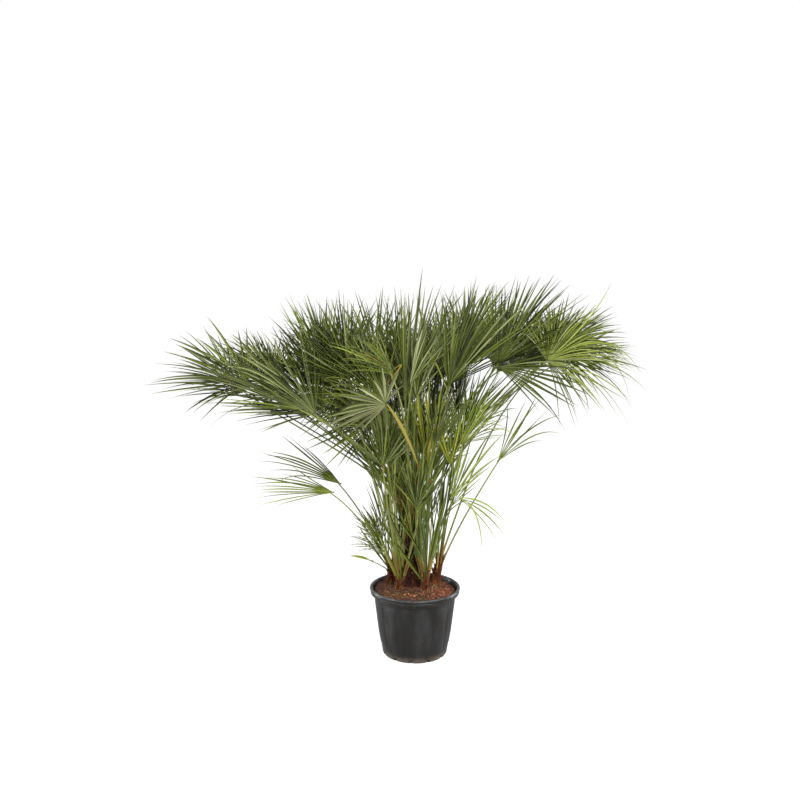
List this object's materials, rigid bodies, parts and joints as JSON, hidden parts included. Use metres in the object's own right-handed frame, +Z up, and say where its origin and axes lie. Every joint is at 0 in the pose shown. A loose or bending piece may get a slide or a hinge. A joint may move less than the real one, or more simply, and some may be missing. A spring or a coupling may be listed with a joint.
{
  "type": "potted european fan palm",
  "caption": "Clumping fan palm with a fibrous trunk, short side stems and spreading fan-shaped fronds on long stalks, in a round black nursery pot.",
  "frame": {"origin": "middle of the pot's flat underside", "axes": "+Z up the plant, -Y towards the picture's viewer, +X to the viewer's right, along the crown's widest reach"},
  "size_m": [2.1484, 1.3842, 1.7378],
  "materials": {
    "pot": "satin",
    "soil": "matte",
    "bark": "matte",
    "frond": "satin",
    "young_frond": "satin"
  },
  "bodies": {
    "root": {"frond_back_1": "frond", "frond_back_2": "frond", "frond_back_3": "frond", "frond_back_4": "frond", "frond_back_5": "frond", "frond_back_6": "frond", "frond_left_1": "frond", "frond_left_2": "frond", "frond_left_3": "frond", "frond_left_4": "frond", "frond_left_5": "frond", "frond_left_6": "frond", "frond_left_7": "frond", "frond_middle_1": "frond", "frond_middle_10": "frond", "frond_middle_11": "frond", "frond_middle_2": "frond", "frond_middle_3": "frond", "frond_middle_4": "frond", "frond_middle_5": "frond", "frond_middle_6": "frond", "frond_middle_7": "frond", "frond_middle_8": "frond", "frond_middle_9": "frond", "frond_right_1": "frond", "frond_right_2": "frond", "frond_right_3": "frond", "frond_right_4": "frond", "frond_right_5": "frond", "frond_right_6": "frond", "frond_right_7": "frond", "frond_right_8": "frond", "pot": "pot", "side_stem_back": "bark", "side_stem_front": "bark", "side_stem_left": "bark", "side_stem_middle": "bark", "side_stem_right": "bark", "soil": "soil", "trunk": "bark", "young_frond_back_1": "young_frond", "young_frond_back_2": "young_frond", "young_frond_back_3": "young_frond", "young_frond_back_4": "young_frond", "young_frond_left_1": "young_frond", "young_frond_left_2": "young_frond", "young_frond_left_3": "young_frond", "young_frond_left_4": "young_frond", "young_frond_left_5": "young_frond", "young_frond_left_6": "young_frond", "young_frond_middle_1": "young_frond", "young_frond_middle_2": "young_frond", "young_frond_middle_3": "young_frond", "young_frond_middle_4": "young_frond", "young_frond_right_1": "young_frond", "young_frond_right_2": "young_frond", "young_frond_right_3": "young_frond", "young_frond_right_4": "young_frond", "young_frond_right_5": "young_frond", "young_frond_right_6": "young_frond"}
  },
  "joints": []
}
